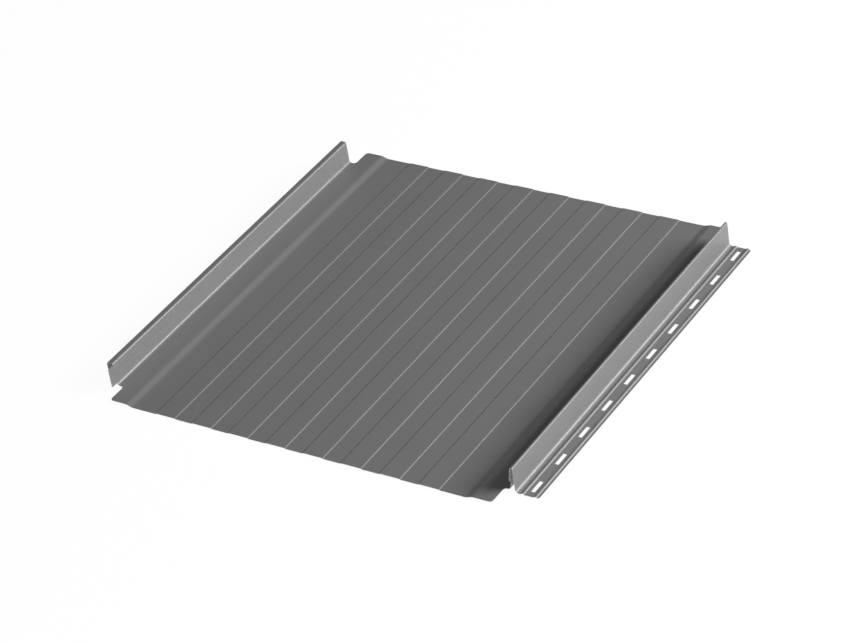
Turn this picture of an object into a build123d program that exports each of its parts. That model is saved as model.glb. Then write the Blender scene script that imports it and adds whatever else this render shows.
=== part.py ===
"""Standing seam roof panel of the snap-lock kind: one short length, rolled from one sheet.

X runs across the panel, Y along the seams, Z up. The section is drawn on the weather face,
from the hook of the overlap seam on the left to the free edge of the screw flange on the
right, and the sheet's thickness is added on the other side. The pan's low level lies on Z = 0.
"""

import os
from math import atan2, cos, radians, sin, tan

from build123d import *

os.makedirs("parts", exist_ok=True)

# Sheet and cover
sheet = 0.5  # thickness of the coated sheet
length = 536.0  # pan, end to end
cover = 518.0  # pitch from one laid panel to the next
nest_gap = 0.7  # side play between a laid seam and the one it covers
top_gap = 0.05  # play over the covered seam's top

# Pan
rib_count = 8
rib_pitch = 48.85
rib_width = 26.0  # at half height
rib_height = 0.75
rib_run = 1.05  # of each flank, along X
rib_bend = 1.0
strip_rise = 2.75  # side strips above the pan's low level
strip_left = 34.35  # overlap seam's leg to the middle of the slope
strip_right = 35.0  # underlap seam's neck to the middle of the slope
slope_run = 8.0
slope_bend = 8.0

# Overlap seam, on the left
overlap_width = 8.35
overlap_base_bend = 3.5
overlap_top_bend = 2.2
overlap_back_bend = 1.5
hook_level = 10.0  # where the back's face and the hook's face would meet, over the pan
hook_length = 3.3
hook_rise = 30.0  # degrees
hook_bend = 1.1

# Underlap seam, on the right
underlap_height = 31.3  # over the pan's low level
underlap_lean = 3.3  # how far the back's face is from the wall's at the top
barb_level = 14.1
barb_reach = 6.5  # from the wall's face
barb_bend = 1.2
kink_level = 11.9
kink_reach = 3.8
kink_bend = 1.0
base_reach = 6.6
base_bend = 3.4
crown_bend = 1.5

# Screw flange
flange_width = 27.85  # from the wall's face to the free edge
flange_bend = 4.5
flange_corner = 3.2
bead_height = 1.2
bead_rise = 2.4  # soft flank of a bead, towards the wall
bead_crest = 1.1
bead_fall = 1.4  # steep flank, towards the free edge
bead_crest_bend = 0.9
bead_foot_bend = 1.1
inner_rise_bend = 3.2
inner_gap = 0.1  # flat between the wall's bend and the inner bead
outer_rise_bend = 6.0
lip = 2.35  # free edge to the foot of the outer bead
slot_pitch = 50.0
slot_length = 18.8
slot_width = 4.4
slot_corner = 0.4
slot_line = 11.6  # from the free edge
slot_end_gap = 5.0  # least distance from a slot to the end of the flange

# Ends
seam_inset = 26.0  # how far the seams stop short of the pan
tongue_left = 8.45  # overlap leg to the pan's tongue
tongue_right = 13.35  # underlap wall to the pan's tongue
tongue_corner = 4.2
notch_corner = 4.0
tab_length = 9.0  # of the overlap leg, past the seam's near end
tab_level = 5.5  # its lower edge over the pan
tab_top_gap = 0.3  # its upper edge under the top bend
tab_corner = 1.0

# Places across the panel, with the box's middle at X = 0
wall_reach = cover - sheet - nest_gap  # overlap leg's face to underlap wall's face
leg_x = (overlap_width - wall_reach - flange_width) / 2
wall_x = leg_x + wall_reach
back_x = leg_x - overlap_width
edge_x = wall_x + flange_width
slope_left_x = leg_x + strip_left
slope_right_x = wall_x - base_reach - strip_right
rib_field_x = (slope_left_x + slope_right_x) / 2

# Levels of the weather face
pan_z = sheet
strip_z = pan_z + strip_rise
underlap_z = pan_z + underlap_height
overlap_z = underlap_z + sheet + top_gap
hook_z = pan_z + hook_level


def step(middle, run, low, high):
    """The two corners of a flank that goes from one level to another along X."""
    return [(middle - run / 2, low), (middle + run / 2, high)]


def bead(start, rise_bend):
    """The four corners of a stiffening bead, from the foot of its rise, and their bend radii."""
    crest = start + bead_rise
    shoulder = crest + bead_crest
    top_z = pan_z + bead_height
    return [
        ((start, pan_z), rise_bend),
        ((crest, top_z), bead_crest_bend),
        ((shoulder, top_z), bead_crest_bend),
        ((shoulder + bead_fall, pan_z), bead_foot_bend),
    ]


# Corners of the section, each with its bend radius on the weather face
hook_tip = (
    back_x + hook_length * cos(radians(hook_rise)),
    hook_z + hook_length * sin(radians(hook_rise)),
)
overlap_seam = [
    ((back_x, hook_z), hook_bend),
    ((back_x, overlap_z), overlap_back_bend),
    ((leg_x, overlap_z), overlap_top_bend),
    ((leg_x, strip_z), overlap_base_bend),
]

pan = [(corner, slope_bend) for corner in step(slope_left_x, slope_run, strip_z, pan_z)]
for index in range(rib_count):
    rib_x = rib_field_x + (index - (rib_count - 1) / 2) * rib_pitch
    rib_z = pan_z + rib_height
    flanks = step(rib_x - rib_width / 2, rib_run, pan_z, rib_z)
    flanks += step(rib_x + rib_width / 2, rib_run, rib_z, pan_z)
    pan += [(corner, rib_bend) for corner in flanks]
pan += [(corner, slope_bend) for corner in step(slope_right_x, slope_run, pan_z, strip_z)]

underlap_seam = [
    ((wall_x - base_reach, strip_z), base_bend),
    ((wall_x - kink_reach, pan_z + kink_level), kink_bend),
    ((wall_x - barb_reach, pan_z + barb_level), barb_bend),
    ((wall_x - underlap_lean, underlap_z), crown_bend),
    ((wall_x, underlap_z), crown_bend),
    ((wall_x, pan_z), flange_bend),
]

rise_angle = atan2(bead_height, bead_rise)
inner_start = wall_x + flange_bend + inner_gap + inner_rise_bend * tan(rise_angle / 2)
outer_start = edge_x - lip - bead_fall - bead_crest - bead_rise
flange = bead(inner_start, inner_rise_bend) + bead(outer_start, outer_rise_bend)

corners = overlap_seam + pan + underlap_seam + flange

with BuildPart() as roof_panel:
    # The rolled section, over the whole length
    with BuildSketch(Plane.XZ):
        with BuildLine():
            FilletPolyline(
                hook_tip,
                *[point for point, bend in corners],
                (edge_x, pan_z),
                radius=[bend for point, bend in corners],
            )
            offset(amount=sheet, side=Side.RIGHT)
        make_face()
    extrude(amount=length / 2, both=True)

    # Seen from above, the seams stop short and leave the pan's tongue at both ends
    tongue_x = (leg_x + tongue_left, wall_x - tongue_right)
    pan_end = length / 2
    seam_end = pan_end - seam_inset
    clear = 1.0  # the cut outline passes the sheet's back and top by this much
    left = back_x - clear
    outline = [
        ((left, -seam_end), 0),
        ((tongue_x[0], -seam_end), notch_corner),
        ((tongue_x[0], -pan_end), tongue_corner),
        ((tongue_x[1], -pan_end), tongue_corner),
        ((tongue_x[1], -seam_end), notch_corner),
        ((edge_x, -seam_end), flange_corner),
        ((edge_x, seam_end), flange_corner),
        ((tongue_x[1], seam_end), notch_corner),
        ((tongue_x[1], pan_end), tongue_corner),
        ((tongue_x[0], pan_end), tongue_corner),
        ((tongue_x[0], seam_end), notch_corner),
        ((left, seam_end), 0),
    ]
    with BuildSketch():
        with BuildLine():
            FilletPolyline(
                *[point for point, corner in outline],
                radius=[corner for point, corner in outline],
                close=True,
            )
        make_face()
    extrude(amount=overlap_z + clear, mode=Mode.INTERSECT)

    # The overlap seam's leg runs on a little at the near end, without its top and back
    tab_low = pan_z + tab_level
    tab_high = overlap_z - overlap_top_bend - tab_top_gap
    with BuildSketch(Plane.YZ.offset(leg_x - sheet)):
        with BuildLine():
            FilletPolyline(
                (-seam_end, tab_high),
                (-seam_end - tab_length, tab_high),
                (-seam_end - tab_length, tab_low),
                (-seam_end, tab_low),
                radius=tab_corner,
            )
            Line((-seam_end, tab_low), (-seam_end, tab_high))
        make_face()
    extrude(amount=sheet)

    # Screw slots in the flange, as many as its length takes
    slot_room = 2 * seam_end - slot_length - 2 * slot_end_gap
    slot_count = int(slot_room / slot_pitch) + 1
    with BuildSketch():
        with Locations((edge_x - slot_line, 0)):
            with GridLocations(0, slot_pitch, 1, slot_count):
                RectangleRounded(slot_width, slot_length, slot_corner)
    extrude(amount=overlap_z, mode=Mode.SUBTRACT)

roof_panel.part.label = "roof_panel"
export_step(roof_panel.part, "parts/roof_panel.step")

box = roof_panel.part.bounding_box()
print("size", [round(value, 2) for value in box.size], "volume", round(roof_panel.part.volume, 1))
print("leg face X", round(leg_x, 3), "wall face X", round(wall_x, 3), "edge X", round(edge_x, 3))
print("slots", slot_count, "on X", round(edge_x - slot_line, 3))
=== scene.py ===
# %% [markdown]
# # A standing seam roof panel, from flat blank to finished sheet
#
# The real object is one strip of coated steel. A mill punches its screw slots, notches its
# ends and then rolls it, bend after bend, until the two edges have become seams that snap
# into each other. This lesson makes it in the same order: a flat blank in mesh code, slots
# and bends by Geometry Nodes, and at the end the coat, the bare cut edges and the light.
#
# The solid model is loaded first. It fixes the place and the size of everything below.

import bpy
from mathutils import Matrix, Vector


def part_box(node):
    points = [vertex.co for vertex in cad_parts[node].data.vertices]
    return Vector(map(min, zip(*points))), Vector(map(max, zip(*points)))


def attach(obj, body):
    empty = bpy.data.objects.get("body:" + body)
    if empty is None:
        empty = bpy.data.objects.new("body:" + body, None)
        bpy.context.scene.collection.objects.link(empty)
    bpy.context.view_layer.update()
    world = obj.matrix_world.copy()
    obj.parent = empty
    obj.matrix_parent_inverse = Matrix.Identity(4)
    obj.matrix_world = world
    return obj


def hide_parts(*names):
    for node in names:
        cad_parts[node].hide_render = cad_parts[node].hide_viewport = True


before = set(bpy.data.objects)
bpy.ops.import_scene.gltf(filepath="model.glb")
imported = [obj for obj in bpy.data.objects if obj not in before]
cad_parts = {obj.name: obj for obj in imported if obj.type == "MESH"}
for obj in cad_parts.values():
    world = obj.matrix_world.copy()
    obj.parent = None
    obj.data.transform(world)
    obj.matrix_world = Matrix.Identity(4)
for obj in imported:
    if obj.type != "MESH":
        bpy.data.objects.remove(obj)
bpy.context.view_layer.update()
cad_low, cad_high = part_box("roof_panel")
print("solid panel, mm:", [round(1000 * value, 2) for value in cad_high - cad_low])

# %% Modules and units
from math import atan2, ceil, cos, radians, sin, tan

import bmesh
import bpy
from mathutils import Matrix, Vector

MM = 0.001
scene = bpy.context.scene


def link(name, data):
    """A new object at the origin, shown in the scene."""
    made = bpy.data.objects.new(name, data)
    scene.collection.objects.link(made)
    return made


print("Blender:", bpy.app.version_string)

# %% [markdown]
# ## The camera
#
# The camera is solved once, from the straight edges, the ribs and the slots of the
# photograph, and stays as it is. It is a long lens far away, so the long edges of the sheet
# stay nearly parallel. It leans a little to one side, which is a turn about its own axis.

# %% Camera
camera_place = Vector((1819.3, -2425.8, 2067.7)) * MM
camera_sight = Vector((-0.49710, 0.65933, -0.56407))
camera_roll = radians(-9.60)

camera_data = bpy.data.cameras.new("camera")
camera_data.sensor_width = 36.0
camera_data.lens = 137.69
camera_data.clip_end = 50.0
camera = link("camera", camera_data)
upright = camera_sight.to_track_quat("-Z", "Y").to_matrix()
turned = upright @ Matrix.Rotation(camera_roll, 3, "Z")
camera.matrix_world = Matrix.Translation(camera_place) @ turned.to_4x4()
scene.camera = camera
print("camera to panel, m:", round(camera_place.length, 3))

# %% [markdown]
# ## The section
#
# The overlap seam is a hollow fold with a hook. It drops over the next panel's underlap
# seam, and the hook snaps under that seam's barb. Between the two seams lies the pan, with
# shallow ribs that stiffen it. Beyond the underlap seam is the flange for the screws, with
# two beads.
#
# All of it is one line of corners with a bend radius each, as on the drawing of a roll
# former. The line is the sheet's weather face, drawn from the hook to the flange's free
# edge. Sizes are in millimetres, and the outer edges come from the solid model's box.

# %% Ends and levels
SHEET = 0.5  # thickness
SEAM_INSET = 26.0  # how far the seams stop short of the pan's ends
STRIP_RISE = 2.75  # side strips above the pan's low level

PAN_END = cad_high.y / MM
SEAM_END = PAN_END - SEAM_INSET
PAN_Z = SHEET
STRIP_Z = PAN_Z + STRIP_RISE
print("pan and seam lengths, mm:", round(2 * PAN_END, 2), round(2 * SEAM_END, 2))

# %% Overlap seam
OVERLAP_WIDTH = 8.35
HOOK_LEVEL = 10.0  # corner of back and hook, over the pan's low level
HOOK_LENGTH = 3.3
HOOK_RISE = radians(30)
HOOK_BEND, BACK_BEND, TOP_BEND, LEG_BEND = 1.1, 1.5, 2.2, 3.5

BACK_X = cad_low.x / MM
LEG_X = BACK_X + OVERLAP_WIDTH
OVERLAP_Z = cad_high.z / MM
HOOK_Z = PAN_Z + HOOK_LEVEL

hook_tip = (BACK_X + HOOK_LENGTH * cos(HOOK_RISE), HOOK_Z + HOOK_LENGTH * sin(HOOK_RISE), 0)
overlap_seam = [
    hook_tip,
    (BACK_X, HOOK_Z, HOOK_BEND),
    (BACK_X, OVERLAP_Z, BACK_BEND),
    (LEG_X, OVERLAP_Z, TOP_BEND),
    (LEG_X, STRIP_Z, LEG_BEND),
]
print("overlap seam's height, mm:", round(OVERLAP_Z - PAN_Z, 2))

# %% Underlap seam
FLANGE_WIDTH = 27.85  # from the wall's face to the free edge
UNDERLAP_HEIGHT = 31.3  # over the pan's low level
UNDERLAP_LEAN = 3.3  # from the wall's face to the back's, at the top
BARB_LEVEL, BARB_REACH = 14.1, 6.5  # over the pan, and from the wall's face
KINK_LEVEL, KINK_REACH = 11.9, 3.8
NECK_REACH = 6.6
NECK_BEND, KINK_BEND, BARB_BEND, CROWN_BEND, WALL_BEND = 3.4, 1.0, 1.2, 1.5, 4.5

EDGE_X = cad_high.x / MM
WALL_X = EDGE_X - FLANGE_WIDTH
NECK_X = WALL_X - NECK_REACH
UNDERLAP_Z = PAN_Z + UNDERLAP_HEIGHT

underlap_seam = [
    (NECK_X, STRIP_Z, NECK_BEND),
    (WALL_X - KINK_REACH, PAN_Z + KINK_LEVEL, KINK_BEND),
    (WALL_X - BARB_REACH, PAN_Z + BARB_LEVEL, BARB_BEND),
    (WALL_X - UNDERLAP_LEAN, UNDERLAP_Z, CROWN_BEND),
    (WALL_X, UNDERLAP_Z, CROWN_BEND),
    (WALL_X, PAN_Z, WALL_BEND),
]
print("from leg to wall, mm:", round(WALL_X - LEG_X, 2))

# %% Pan with its ribs
RIB_COUNT = 8
RIB_PITCH = 48.85
RIB_WIDTH = 26.0  # at half height
RIB_HEIGHT = 0.75
RIB_RUN = 1.05  # of each flank, along X
SLOPE_LEFT = 34.35  # overlap seam's leg to the middle of the slope
SLOPE_RIGHT = 35.0  # underlap seam's neck to the middle of the slope
SLOPE_RUN = 8.0
SLOPE_BEND, RIB_BEND = 14.0, 1.0

SLOPE_LEFT_X = LEG_X + SLOPE_LEFT
SLOPE_RIGHT_X = NECK_X - SLOPE_RIGHT


def flank(middle, run, low, high, bend):
    """Two corners, where the sheet goes from one level to another."""
    return [(middle - run / 2, low, bend), (middle + run / 2, high, bend)]


def rib(middle):
    """Four corners of a shallow rib of the pan."""
    top = PAN_Z + RIB_HEIGHT
    rising = flank(middle - RIB_WIDTH / 2, RIB_RUN, PAN_Z, top, RIB_BEND)
    return rising + flank(middle + RIB_WIDTH / 2, RIB_RUN, top, PAN_Z, RIB_BEND)


pan = flank(SLOPE_LEFT_X, SLOPE_RUN, STRIP_Z, PAN_Z, SLOPE_BEND)
rib_field = (SLOPE_LEFT_X + SLOPE_RIGHT_X) / 2
for index in range(RIB_COUNT):
    pan += rib(rib_field + (index - (RIB_COUNT - 1) / 2) * RIB_PITCH)
pan += flank(SLOPE_RIGHT_X, SLOPE_RUN, PAN_Z, STRIP_Z, SLOPE_BEND)
print("corners of the pan:", len(pan))

# %% Flange with its beads
BEAD_HEIGHT = 1.2
BEAD_RISE = 2.4  # soft flank of a bead, towards the wall
BEAD_CREST = 1.1
BEAD_FALL = 1.4  # steep flank, towards the free edge
INNER_GAP = 0.1  # flat between the wall's bend and the inner bead
LIP = 2.35  # free edge to the foot of the outer bead
INNER_RISE_BEND, OUTER_RISE_BEND, CREST_BEND, FOOT_BEND = 3.2, 6.0, 0.9, 1.1


def bead(start, rise_bend):
    """Four corners of a stiffening bead of the flange, with a soft rise and a steep fall."""
    crest = start + BEAD_RISE
    shoulder = crest + BEAD_CREST
    top = PAN_Z + BEAD_HEIGHT
    return [
        (start, PAN_Z, rise_bend),
        (crest, top, CREST_BEND),
        (shoulder, top, CREST_BEND),
        (shoulder + BEAD_FALL, PAN_Z, FOOT_BEND),
    ]


rise_angle = atan2(BEAD_HEIGHT, BEAD_RISE)
inner_start = WALL_X + WALL_BEND + INNER_GAP + INNER_RISE_BEND * tan(rise_angle / 2)
outer_start = EDGE_X - LIP - BEAD_FALL - BEAD_CREST - BEAD_RISE
inner_bead = bead(inner_start, INNER_RISE_BEND)
flange = inner_bead + bead(outer_start, OUTER_RISE_BEND) + [(EDGE_X, PAN_Z, 0)]

corners = overlap_seam + pan + underlap_seam + flange
print("corners of the whole section:", len(corners))

# %% [markdown]
# ## Bends
#
# A corner becomes an arc that touches both of its flats. Each arc is cut into facets of a
# few degrees. A smooth-shaded flat would lean towards its first facet over its whole width,
# so a flat gets one more point just inside each of its ends, and only that narrow margin
# takes the lean.

# %% A bend as an arc
FACET = radians(4.0)
FEWEST_FACETS = 3


def arc(before, corner, after, bend):
    """Points of the bend at one corner."""
    into = (corner - before).normalized()
    out = (after - corner).normalized()
    turn = into.angle_signed(out)
    reach = bend * tan(abs(turn) / 2)
    start = corner - into * reach
    side = into.orthogonal() if turn < 0 else -into.orthogonal()
    centre = start + side * bend
    steps = max(FEWEST_FACETS, ceil(abs(turn) / FACET))
    spoke = start - centre
    points = []
    for index in range(steps + 1):
        spoke_turn = Matrix.Rotation(-turn * index / steps, 2)
        points.append(centre + spoke_turn @ spoke)
    return points


print("facets of a square bend:", ceil(radians(90) / FACET))

# %% Stations along the section
MARGIN = 0.12
LEAST_FLAT = 4 * MARGIN  # a narrower flat gets no margins
FLANGE_CORNER = 3.2
LIP_ANGLES = range(10, 90, 10)  # degrees round a corner of the flange, a station at each


def lip_stations(start):
    """Stations between a start and the free edge, where the flange's corners are rounded."""
    insets = [FLANGE_CORNER * (1 - cos(radians(angle))) for angle in LIP_ANGLES]
    return [Vector((EDGE_X - step, PAN_Z)) for step in reversed(insets) if EDGE_X - step > start]


def section_stations(corners):
    """Stations along the section, the bend at each, and the first station of the flat after
    each corner."""
    points = [Vector(corner[:2]) for corner in corners]
    stations, bends, flats = [points[0]], [0], []
    for index in range(1, len(points)):
        last = index == len(points) - 1
        if last:
            bent = [points[index]]
        else:
            bent = arc(points[index - 1], points[index], points[index + 1], corners[index][2])
        along = bent[0] - stations[-1]
        if along.length > LEAST_FLAT:
            margin = along.normalized() * MARGIN
            stations += [stations[-1] + margin, bent[0] - margin]
        flats.append(len(stations) - 2)
        if last:
            stations += lip_stations(stations[-1].x)
        bends += [0] * (len(stations) - len(bends))
        stations += bent
        if not last:
            bends += [0] + [1 / corners[index][2]] * (len(bent) - 2) + [0]
    bends.append(0)
    return stations, bends, flats


stations, bends, flats = section_stations(corners)
distances = [0.0]
for before, after in zip(stations, stations[1:]):
    distances.append(distances[-1] + (after - before).length)
print("stations:", len(stations), "blank width, mm:", round(distances[-1], 2))

# %% [markdown]
# ## The flat blank
#
# Laid flat, the sheet is simple: X is the distance along the section and Y runs along the
# coil. Most of it is strips of four-sided faces, one strip between two stations. Three
# flats carry a cut outline, so each is one many-sided face: the overlap seam's leg with its
# tab, and the two side strips with the notches and the pan's tongue. The flat with the
# slots is left open here, because the node tree fills it.

# %% Flats that are cut
leg_flat = flats[corners.index(overlap_seam[-2])]
left_flat = flats[corners.index(overlap_seam[-1])]
right_flat = flats[corners.index(pan[-1])]
slot_flat = flats[corners.index(inner_bead[-1])]


def flat_span(flat):
    """The distances at which the plain part of a flat starts and ends."""
    return distances[flat], distances[flat + 1]


print("slotted flat on the blank, mm:", [round(edge, 2) for edge in flat_span(slot_flat)])

# %% Leg with its tab
TAB_LENGTH, TAB_CORNER = 9.0, 1.0
TAB_LEVEL = 5.5  # its lower edge over the pan
TAB_TOP_GAP = 0.3  # its upper edge under the top bend
TAB_LOW_Z = PAN_Z + TAB_LEVEL
TAB_HIGH_Z = OVERLAP_Z - TOP_BEND - TAB_TOP_GAP


def leg_outline(near, far):
    """The overlap seam's leg between its two bends, with the tab at the near end."""
    tab_top = near + stations[leg_flat].y - TAB_HIGH_Z
    tab_foot = near + stations[leg_flat].y - TAB_LOW_Z
    return [
        (near, -SEAM_END, 0),
        (tab_top, -SEAM_END, 0),
        (tab_top, -SEAM_END - TAB_LENGTH, TAB_CORNER),
        (tab_foot, -SEAM_END - TAB_LENGTH, TAB_CORNER),
        (tab_foot, -SEAM_END, 0),
        (far, -SEAM_END, 0),
        (far, SEAM_END, 0),
        (near, SEAM_END, 0),
    ]


print("tab's height, mm:", round(TAB_HIGH_Z - TAB_LOW_Z, 2))

# %% Side strips with their notches
TONGUE_LEFT = 8.45  # overlap seam's leg to the pan's tongue
TONGUE_RIGHT = 13.35  # underlap seam's wall to the pan's tongue
TONGUE_LEFT_X = LEG_X + TONGUE_LEFT
TONGUE_RIGHT_X = WALL_X - TONGUE_RIGHT
TONGUE_CORNER, NOTCH_CORNER = 4.2, 4.0


def strip_outline(seam_side, tongue, pan_side):
    """A side strip, as long as the seam at one edge and as the pan's tongue at the other."""
    half = [
        (seam_side, SEAM_END, 0),
        (tongue, SEAM_END, NOTCH_CORNER),
        (tongue, PAN_END, TONGUE_CORNER),
        (pan_side, PAN_END, 0),
    ]
    other_half = [(x, -y, corner) for x, y, corner in reversed(half)]
    return half + other_half


left_near, left_far = flat_span(left_flat)
right_near, right_far = flat_span(right_flat)
left_tongue = left_near + TONGUE_LEFT_X - stations[left_flat].x
right_tongue = right_near + TONGUE_RIGHT_X - stations[right_flat].x
cut_outlines = {
    leg_flat: leg_outline(*flat_span(leg_flat)),
    left_flat: strip_outline(left_near, left_tongue, left_far),
    right_flat: strip_outline(right_far, right_tongue, right_near),
}
print("flats with a cut outline:", len(cut_outlines))

# %% Blank in mesh code
WELD = 0.01 * MM  # points nearer than this become one


def half_length(index, station):
    """Half the strip's length along the coil, at one of its two stations."""
    if left_flat < index < right_flat:
        return PAN_END
    inset = station.x - (EDGE_X - FLANGE_CORNER)
    if inset > 0:
        return SEAM_END - FLANGE_CORNER + (max(0, FLANGE_CORNER**2 - inset**2)) ** 0.5
    return SEAM_END


def rounded(outline):
    """A closed outline of (x, y, corner radius), with its corners as arcs."""
    points = [Vector(corner[:2]) for corner in outline]
    result = []
    for index, corner in enumerate(outline):
        if corner[2] == 0:
            result.append(points[index])
        else:
            following = points[(index + 1) % len(points)]
            result += arc(points[index - 1], points[index], following, corner[2])
    return result


blank = bmesh.new()
for index, (start, end) in enumerate(zip(distances, distances[1:])):
    if index == slot_flat:
        continue
    near, far = half_length(index, stations[index]), half_length(index, stations[index + 1])
    strip = [(start, -near, 0), (end, -far, 0), (end, far, 0), (start, near, 0)]
    points = rounded(cut_outlines.get(index, strip))
    face = blank.faces.new([blank.verts.new((x * MM, y * MM, 0)) for x, y in points])
    face.normal_update()
    if face.normal.z < 0:
        face.normal_flip()
bmesh.ops.remove_doubles(blank, verts=blank.verts, dist=WELD)
blank_mesh = bpy.data.meshes.new("rolled_sheet")
blank.to_mesh(blank_mesh)
blank.free()
sheet = link("rolled_sheet", blank_mesh)
print("blank faces:", len(blank_mesh.polygons))

# %% [markdown]
# ## The section as a curve
#
# The node tree can't read a Python list, but it can read a curve. Each point of this one
# also carries how tight the sheet is bent there, as the point's radius: one over the bend
# radius in millimetres, and 0 on a flat. The coat will make use of that.

# %% Section as a curve
section_data = bpy.data.curves.new("section", "CURVE")
section_data.dimensions = "3D"
section_line = section_data.splines.new("POLY")
section_line.points.add(len(stations) - 1)
for point, station, bend in zip(section_line.points, stations, bends):
    point.co = (station.x * MM, 0, station.y * MM, 1)
    point.radius = bend
section = link("section", section_data)
section.hide_render = True
print("section points:", len(section_line.points))

# %% [markdown]
# ## Formulas instead of node links
#
# Both the node tree of the sheet and its materials are mostly maths. A small class wraps a
# socket, so that a formula such as 1 - mask adds the Math node it needs. Every other node
# comes from one method, which sets the node's own settings first and its sockets after.

# %% A socket that takes arithmetic
class Wire:
    """One output socket. Arithmetic on it adds Math nodes."""

    def __init__(self, maker, socket):
        self.maker = maker
        self.socket = socket

    def other(self, name):
        """Another output of the same node."""
        return Wire(self.maker, self.socket.node.outputs[name])

    def math(self, operation, *values):
        """A Math node on any values."""
        inputs = dict(enumerate(values))
        return self.maker.node("ShaderNodeMath", {"operation": operation}, inputs)

    def __add__(self, value):
        return self.math("ADD", self, value)

    def __radd__(self, value):
        return self.math("ADD", value, self)

    def __sub__(self, value):
        return self.math("SUBTRACT", self, value)

    def __rsub__(self, value):
        return self.math("SUBTRACT", value, self)

    def __mul__(self, value):
        return self.math("MULTIPLY", self, value)

    def __rmul__(self, value):
        return self.math("MULTIPLY", value, self)

    def __truediv__(self, value):
        return self.math("DIVIDE", self, value)

    def __gt__(self, value):
        return self.math("GREATER_THAN", self, value)

    def __lt__(self, value):
        return self.math("LESS_THAN", self, value)


# %% A maker of nodes
class Maker:
    """Adds nodes to one tree."""

    def __init__(self, tree):
        self.tree = tree

    def node(self, kind, settings=None, inputs=None, output=0):
        """A new node. Returns the wire of one output, or the node where it has none."""
        made = self.tree.nodes.new(kind)
        for name, value in (settings or {}).items():
            setattr(made, name, value)
        for key, value in (inputs or {}).items():
            for item in value if isinstance(value, list) else [value]:
                if isinstance(item, Wire):
                    self.tree.links.new(item.socket, made.inputs[key])
                else:
                    made.inputs[key].default_value = item
        return Wire(self, made.outputs[output]) if made.outputs else made

    def axes(self, vector):
        """A vector taken apart, as a wire with the outputs X, Y and Z."""
        return self.node("ShaderNodeSeparateXYZ", {}, {"Vector": vector})

    def vector(self, **axes):
        """A vector put together from X, Y and Z."""
        return self.node("ShaderNodeCombineXYZ", {}, axes)


# %% [markdown]
# ## Punching, rolling and thickness, as a node tree
#
# The tree works like the mill. It punches the flat with the slots, which is an outline with
# ten slot outlines in it, filled. It joins that flat to the blank. It lays each point on
# the section, at the point's own distance along it. It gives the sheet its thickness away
# from the weather face. Last come sharp cut edges and the three finishes.

# %% Node tree of the rolled sheet
def geometry_tree(name, inputs):
    """The maker of a new tree with named inputs, and the wire that brings them in."""
    tree = bpy.data.node_groups.new(name, "GeometryNodeTree")
    tree.interface.new_socket("Geometry", in_out="INPUT", socket_type="NodeSocketGeometry")
    for label, kind in inputs:
        tree.interface.new_socket(label, in_out="INPUT", socket_type="NodeSocket" + kind)
    tree.interface.new_socket("Geometry", in_out="OUTPUT", socket_type="NodeSocketGeometry")
    maker = Maker(tree)
    return maker, maker.node("NodeGroupInput")


mill, given = geometry_tree(
    "rolled_sheet_mill",
    [
        ("Section", "Object"),
        ("Sheet", "Float"),
        ("Seam Length", "Float"),
        ("Flat Start", "Float"),
        ("Flat End", "Float"),
        ("Slot Line", "Float"),
        ("Slot Count", "Int"),
        ("Slot Pitch", "Float"),
        ("Slot Length", "Float"),
        ("Slot Width", "Float"),
        ("Slot Corner", "Float"),
        ("Corner Points", "Int"),
        ("Weather Coat", "Material"),
        ("Reverse Coat", "Material"),
        ("Cut Edge", "Material"),
    ],
)
print("inputs and output of the mill:", len(mill.tree.interface.items_tree))


# %% Punching
def rectangle(width, height):
    """The outline of a rectangle about the origin."""
    return mill.node(
        "GeometryNodeCurvePrimitiveQuadrilateral",
        {"mode": "RECTANGLE"},
        {"Width": width, "Height": height},
    )


def joined(*parts):
    """Several geometries as one."""
    return mill.node("GeometryNodeJoinGeometry", {}, {"Geometry": list(parts)})


first_slot = (given.other("Slot Count") - 1) * given.other("Slot Pitch") * -0.5
slot_places = mill.node(
    "GeometryNodeMeshLine",
    {"mode": "OFFSET"},
    {
        "Count": given.other("Slot Count"),
        "Start Location": mill.vector(X=given.other("Slot Line"), Y=first_slot),
        "Offset": mill.vector(Y=given.other("Slot Pitch")),
    },
)
slot_outline = mill.node(
    "GeometryNodeFilletCurve",
    {"mode": "POLY"},
    {
        "Curve": rectangle(given.other("Slot Width"), given.other("Slot Length")),
        "Count": given.other("Corner Points"),
        "Radius": given.other("Slot Corner"),
        "Limit Radius": True,
    },
)
slots = mill.node(
    "GeometryNodeInstanceOnPoints", {}, {"Points": slot_places, "Instance": slot_outline}
)
slots = mill.node("GeometryNodeRealizeInstances", {}, {"Geometry": slots})

flat_width = given.other("Flat End") - given.other("Flat Start")
flat_middle = (given.other("Flat Start") + given.other("Flat End")) * 0.5
flat_outline = mill.node(
    "GeometryNodeTransform",
    {},
    {
        "Geometry": rectangle(flat_width, given.other("Seam Length")),
        "Translation": mill.vector(X=flat_middle),
    },
)
punched = mill.node(
    "GeometryNodeFillCurve", {"mode": "TRIANGLES"}, {"Curve": joined(slots, flat_outline)}
)
whole = mill.node(
    "GeometryNodeMergeByDistance",
    {},
    {"Geometry": joined(given.other("Geometry"), punched), "Distance": WELD},
)
print("nodes after punching:", len(mill.tree.nodes))

# %% [markdown]
# ### Rolling
#
# The section curve gives a place and a direction for each distance along it. The new place
# takes X and Z from the curve and keeps Y. The direction, turned a quarter, points into the
# sheet, and is stored for the thickness. The place on the flat blank is stored as a UV map
# and the bend as an attribute, because both are lost once the sheet is rolled.

# %% Rolling
def stored(geometry, name, value, kind="FLOAT", domain="POINT", **more):
    """The geometry with one more named attribute."""
    settings = {"data_type": kind, "domain": domain}
    inputs = {"Geometry": geometry, "Name": name, "Value": value, **more}
    return mill.node("GeometryNodeStoreNamedAttribute", settings, inputs)


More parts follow.
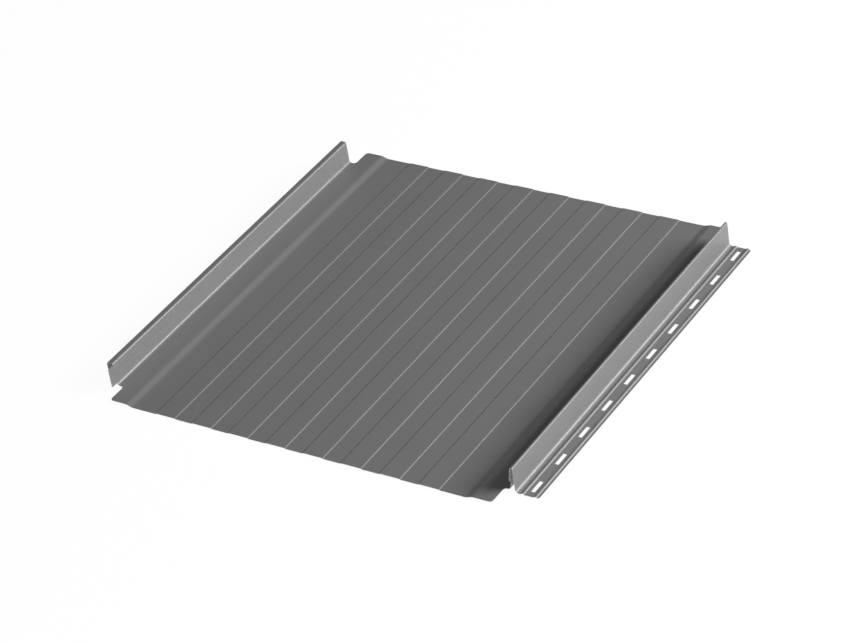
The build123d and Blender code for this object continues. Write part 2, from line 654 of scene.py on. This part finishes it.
blank_place = mill.node("GeometryNodeInputPosition")
blank_axes = mill.axes(blank_place)
section_shape = mill.node("GeometryNodeObjectInfo", {}, {"Object": given.other("Section")})
on_section = mill.node(
    "GeometryNodeSampleCurve",
    {"mode": "LENGTH", "data_type": "FLOAT"},
    {
        "Curves": section_shape.other("Geometry"),
        "Length": blank_axes.other("X"),
        "Value": mill.node("GeometryNodeInputRadius"),
    },
)
place = mill.axes(on_section.other("Position"))
tangent = mill.axes(on_section.other("Tangent"))
rolled_place = mill.vector(X=place.other("X"), Y=blank_axes.other("Y"), Z=place.other("Z"))
inward = mill.vector(X=tangent.other("Z"), Z=0 - tangent.other("X"))

kept = stored(whole, "Coil", blank_place, kind="FLOAT2", domain="CORNER")
kept = stored(kept, "inward", inward, kind="FLOAT_VECTOR")
kept = stored(kept, "Bend", on_section.other("Value"))
weather_face = mill.node(
    "GeometryNodeSetPosition", {}, {"Geometry": kept, "Position": rolled_place}
)
print("nodes after rolling:", len(mill.tree.nodes))

# %% [markdown]
# ### Thickness, edges and finishes
#
# A copy of the weather face is turned over and pushed in by the sheet's thickness, which
# also draws walls along its borders. Joined to the weather face, it makes a closed sheet.
# The pushed copy stores a depth of 1, which the cut edge's finish will read. Edges that turn
# strongly are shaded sharp, and each of the three kinds of face gets its own finish.

# %% Thickness, edges and finishes
SHARP = radians(35)  # edges that turn more than this

inward_kept = mill.node(
    "GeometryNodeInputNamedAttribute", {"data_type": "FLOAT_VECTOR"}, {"Name": "inward"}
)
turned_face = mill.node("GeometryNodeFlipFaces", {}, {"Mesh": weather_face})
thick = mill.node(
    "GeometryNodeExtrudeMesh",
    {"mode": "FACES"},
    {
        "Mesh": turned_face,
        "Offset": inward_kept,
        "Offset Scale": given.other("Sheet"),
        "Individual": False,
    },
)
kept_depth = stored(thick, "Depth", 1.0, Selection=thick.other("Top"))
closed = mill.node(
    "GeometryNodeMergeByDistance",
    {},
    {"Geometry": joined(weather_face, kept_depth), "Distance": WELD},
)
closed = mill.node(
    "GeometryNodeSetShadeSmooth", {"domain": "FACE"}, {"Geometry": closed, "Shade Smooth": True}
)
edge_angle = mill.node("GeometryNodeInputMeshEdgeAngle")
closed = mill.node(
    "GeometryNodeSetShadeSmooth",
    {"domain": "EDGE"},
    {"Geometry": closed, "Selection": edge_angle > SHARP, "Shade Smooth": False},
)
closed = mill.node("GeometryNodeRealizeInstances", {}, {"Geometry": closed})
for finish, faces in (
    ("Weather Coat", True),
    ("Reverse Coat", thick.other("Top")),
    ("Cut Edge", thick.other("Side")),
):
    closed = mill.node(
        "GeometryNodeSetMaterial",
        {},
        {"Geometry": closed, "Selection": faces, "Material": given.other(finish)},
    )
mill.node("NodeGroupOutput", {}, {"Geometry": closed})
print("nodes of the mill:", len(mill.tree.nodes))

# %% [markdown]
# ## The weather coat
#
# The strip of steel is zinc-coated and painted while it is still flat, by rollers, and then
# baked. The coat is satin, in a plain middle grey. Seen close it isn't quite even: it has
# the fine grain of its pigment, a shallow orange peel, wide faint clouds, and streaks where
# the rollers ran along the coil. Rolling the section stretches and burnishes the coat, so a
# tight bend is a little smoother and paler than the flats beside it.
#
# An image could hold all this, but it would blur close up. Noise at the real sizes doesn't.
# Clouds, peel and grain lie in space. Streaks have to follow the sheet round its bends, so
# they lie on the coil: the tree above stored each point's place on the flat blank.

# %% Helpers of the finishes
def new_finish(name):
    """A material with an empty tree, and its maker."""
    material = bpy.data.materials.new(name)
    material.use_nodes = True
    material.node_tree.nodes.clear()
    return material, Maker(material.node_tree)


def object_place(maker):
    """The place on the object, in metres."""
    return maker.node("ShaderNodeTexCoord").other("Object")


def noise(maker, place, size, detail=2.0):
    """Noise from 0 to 1 with blotches of a size in millimetres."""
    inputs = {"Vector": place, "Scale": 1 / (size * MM), "Detail": detail}
    return maker.node("ShaderNodeTexNoise", {}, inputs)


def streaks(maker, across, along):
    """Noise on the flat coil, with blotches stretched along it."""
    coil = maker.node("ShaderNodeUVMap", {"uv_map": "Coil"})
    shrink = (1.0, across / along, 0.0)
    stretched = maker.node("ShaderNodeVectorMath", {"operation": "MULTIPLY"}, {0: coil, 1: shrink})
    return noise(maker, stretched, across)


def attribute(maker, name):
    """A number that the mill stored on the sheet."""
    return maker.node("ShaderNodeAttribute", {"attribute_name": name}).other("Fac")


def grey(level):
    """A neutral colour."""
    return (level, level, level, 1)


def shade(maker, factor, dark, pale):
    """A grey between two greys."""
    inputs = {0: factor, 6: grey(dark), 7: grey(pale)}
    return maker.node("ShaderNodeMix", {"data_type": "RGBA"}, inputs, output=2)


def surface(maker, colour, roughness, height, depth, ior):
    """The shader of a finish, with bumps as deep as a given number of millimetres."""
    bump = maker.node("ShaderNodeBump", {}, {"Height": height, "Distance": depth * MM})
    inputs = {"Base Color": colour, "Roughness": roughness, "Normal": bump, "IOR": ior}
    shader = maker.node("ShaderNodeBsdfPrincipled", {}, inputs)
    maker.node("ShaderNodeOutputMaterial", {}, {"Surface": shader})


# %% Weather coat
TIGHT_BEND = 4.0  # bends of this radius or less are burnished in full

weather_coat, maker = new_finish("weather_coat")
spot = object_place(maker)
cloud = noise(maker, spot, size=45.0)
streak = streaks(maker, across=3.5, along=220.0)
peel = noise(maker, spot, size=4.5, detail=1.0)
grain = noise(maker, spot, size=0.45)
bent = attribute(maker, "Bend") * TIGHT_BEND
bent = bent.math("MINIMUM", bent, 1)
surface(
    maker,
    colour=shade(maker, (cloud + streak + grain) / 3 + 0.1 * bent, dark=0.138, pale=0.182),
    roughness=0.44 + 0.05 * cloud + 0.015 * streak - 0.09 * bent,
    height=0.8 * peel + 0.2 * grain,
    depth=0.035,
    ior=1.72,
)
print("weather coat nodes:", len(maker.tree.nodes))

# %% [markdown]
# ## The reverse
#
# Nobody sees the side that lies on the roof, so it has only a thin backing coat: paler, less
# even, and with the zinc's wide crystals showing through as faint patches. It is the same
# recipe with other sizes, and a cell pattern for the crystals.

# %% Reverse coat
CRYSTAL = 9.0  # width of a zinc crystal, in millimetres

reverse_coat, maker = new_finish("reverse_coat")
spot = object_place(maker)
cloud = noise(maker, spot, size=60.0)
streak = streaks(maker, across=2.0, along=300.0)
grain = noise(maker, spot, size=0.6)
cells = maker.node("ShaderNodeTexVoronoi", {}, {"Vector": spot, "Scale": 1 / (CRYSTAL * MM)})
crystal = maker.node("ShaderNodeSeparateColor", {}, {"Color": cells.other("Color")})
surface(
    maker,
    colour=shade(maker, (cloud + streak + grain + crystal * 0.5) / 3.5, dark=0.52, pale=0.68),
    roughness=0.44 + 0.08 * cloud + 0.06 * crystal,
    height=0.5 * streak + 0.5 * grain,
    depth=0.015,
    ior=1.5,
)
print("reverse coat nodes:", len(maker.tree.nodes))

# %% [markdown]
# ## Cut edges
#
# A shear leaves two bands on a cut. Down to a third of the sheet the blade slides, and the
# steel is burnished. Below that it breaks, and the steel is dull and rough. The coats show
# as thin lines on both sides. The bands follow the depth, which the tree stored as 0 on the
# weather face and 1 on the reverse, and a little noise makes the border between them ragged.
#
# The edge is half a millimetre wide. A true metal would mirror the dim room there and look
# black, so the edge is a pale grey with a strong gloss.

# %% Cut edge
WEATHER_PAINT = 0.05  # depths as a share of the sheet's thickness
BREAK = 0.45
REVERSE_PAINT = 0.96

cut_edge, maker = new_finish("cut_edge")
deep = attribute(maker, "Depth")
tear = noise(maker, object_place(maker), size=0.25, detail=4.0)
broken = deep + 0.2 * tear > BREAK
coat_line = (deep < WEATHER_PAINT) + (deep > REVERSE_PAINT)
steel = 0.75 - 0.35 * broken + 0.25 * tear
surface(
    maker,
    colour=shade(maker, steel * (1 - coat_line), dark=0.16, pale=0.62),
    roughness=0.32 + 0.2 * broken + 0.1 * coat_line,
    height=tear * broken,
    depth=0.03,
    ior=2.0,
)
print("cut edge nodes:", len(maker.tree.nodes))

# %% [markdown]
# ## Running the mill
#
# The blank gets the node tree as a modifier, and the tree's named inputs get their values.
# The evaluated sheet is then turned into a plain mesh, so that it can be exported, and it
# stands for the solid model's sheet, which is hidden. The section curve and the helper
# attribute have done their work and are deleted.

# %% Slots
SLOT_COUNT = 10
SLOT_PITCH = 50.0
SLOT_LENGTH = 18.8
SLOT_WIDTH = 4.4
SLOT_CORNER = 0.4
SLOT_CORNER_POINTS = 4
SLOT_LINE = 11.6  # middle of the slots to the free edge
SLOT_X = EDGE_X - SLOT_LINE

slots_near, slots_far = flat_span(slot_flat)
slot_line = slots_near + SLOT_X - stations[slot_flat].x
print("slots' line on the blank, mm:", round(slot_line, 2))

# %% Inputs of the mill
values = {
    "Section": section,
    "Sheet": SHEET * MM,
    "Seam Length": 2 * SEAM_END * MM,
    "Flat Start": slots_near * MM,
    "Flat End": slots_far * MM,
    "Slot Line": slot_line * MM,
    "Slot Count": SLOT_COUNT,
    "Slot Pitch": SLOT_PITCH * MM,
    "Slot Length": SLOT_LENGTH * MM,
    "Slot Width": SLOT_WIDTH * MM,
    "Slot Corner": SLOT_CORNER * MM,
    "Corner Points": SLOT_CORNER_POINTS,
    "Weather Coat": weather_coat,
    "Reverse Coat": reverse_coat,
    "Cut Edge": cut_edge,
}
modifier = sheet.modifiers.new("mill", "NODES")
modifier.node_group = mill.tree
for item in mill.tree.interface.items_tree:
    if item.name in values:
        modifier[item.identifier] = values[item.name]
print("inputs set:", len(values))

# %% Rolled sheet
evaluated = sheet.evaluated_get(bpy.context.evaluated_depsgraph_get())
rolled = bpy.data.meshes.new_from_object(evaluated)
sheet.modifiers.clear()
rolled.materials.pop(index=0)  # the empty slot of the blank
rolled.attributes.remove(rolled.attributes["inward"])
sheet.data = rolled
bpy.data.objects.remove(section)
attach(sheet, "root")
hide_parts("roof_panel")
finishes = [material.name for material in rolled.materials]
print("rolled sheet faces:", len(rolled.polygons), "finishes:", finishes)

# %% [markdown]
# ## The floor
#
# The photograph's ground is pure white, with no visible horizon. More light would make a
# floor white too, but it would bleach the sheet. Instead the floor's material asks which
# kind of ray is looking. For the camera and for reflections it is mostly a plain white glow,
# with a little real paint mixed in, so that the sheet's shadow still falls on it. For all
# other rays it is light grey paint, which throws a modest amount of light back at the
# seams.

# %% Floor
FLOOR_HALF = 6.0  # metres
FLOOR_LEVEL = -0.2 * MM  # just under the sheet, so that the two don't flicker
FLOOR_GREY = 0.5
GLOW = 1.06  # with the glow's share and the lit paint, this adds up to white
GLOW_SHARE = 0.9

floor_mesh = bpy.data.meshes.new("floor")
around = ((-1, -1), (1, -1), (1, 1), (-1, 1))
floor_corners = [(FLOOR_HALF * x, FLOOR_HALF * y, FLOOR_LEVEL) for x, y in around]
floor_mesh.from_pydata(floor_corners, [], [(0, 1, 2, 3)])
floor = link("floor", floor_mesh)
floor_paint, maker = new_finish("floor_paint")
path = maker.node("ShaderNodeLightPath")
seen = path.math("MAXIMUM", path.other("Is Camera Ray"), path.other("Is Glossy Ray"))
plain = maker.node("ShaderNodeBsdfDiffuse", {}, {"Color": grey(FLOOR_GREY)})
white = maker.node("ShaderNodeEmission", {}, {"Color": grey(1), "Strength": GLOW})
mixed = maker.node("ShaderNodeMixShader", {}, {0: seen * GLOW_SHARE, 1: plain, 2: white})
maker.node("ShaderNodeOutputMaterial", {}, {"Surface": mixed})
floor.data.materials.append(floor_paint)
print("floor, m across:", 2 * FLOOR_HALF)

# %% [markdown]
# ## The light
#
# Three soft lamps in a dim plain room. The key stands to the right and rather low, so the
# upright seams are brighter than the flat pan, and the tall seam throws its long soft shadow
# on the pan. The lamp's size sets how soft that shadow is. The rim, further back, brightens
# the bends that face it. The front lamp stands low and shines into the seams' open ends.

# %% Room
BACKDROP = 1.0  # what the camera sees behind the floor
ROOM = 0.15  # what lights the sheet from all round

world = bpy.data.worlds.new("studio")
scene.world = world
world.use_nodes = True
world.node_tree.nodes.clear()
maker = Maker(world.node_tree)
path = maker.node("ShaderNodeLightPath")
backdrop = maker.node("ShaderNodeBackground", {}, {"Color": grey(1), "Strength": BACKDROP})
room = maker.node("ShaderNodeBackground", {}, {"Color": grey(1), "Strength": ROOM})
shown = path.other("Is Camera Ray")
mixed = maker.node("ShaderNodeMixShader", {}, {0: shown, 1: room, 2: backdrop})
maker.node("ShaderNodeOutputWorld", {}, {"Surface": mixed})
print("room nodes:", len(maker.tree.nodes))


# %% Lamps
def softbox(name, direction, distance, size, strength):
    """A square lamp that looks at the panel."""
    lamp = bpy.data.lights.new(name, "AREA")
    lamp.shape = "SQUARE"
    lamp.size = size
    lamp.energy = strength
    place = Vector(direction).normalized() * distance
    aim = (-place).to_track_quat("-Z", "Y").to_matrix().to_4x4()
    link(name, lamp).matrix_world = Matrix.Translation(place) @ aim


softbox("key", direction=(1.0, 0.365, 0.63), distance=4.5, size=2.1, strength=257.0)
softbox("rim", direction=(1.0, 1.05, 0.49), distance=4.5, size=1.2, strength=55.0)
softbox("front", direction=(0.35, -0.93, 0.10), distance=2.5, size=1.2, strength=30.0)
scene.view_settings.view_transform = "Standard"
print("lamps:", len(bpy.data.lights))
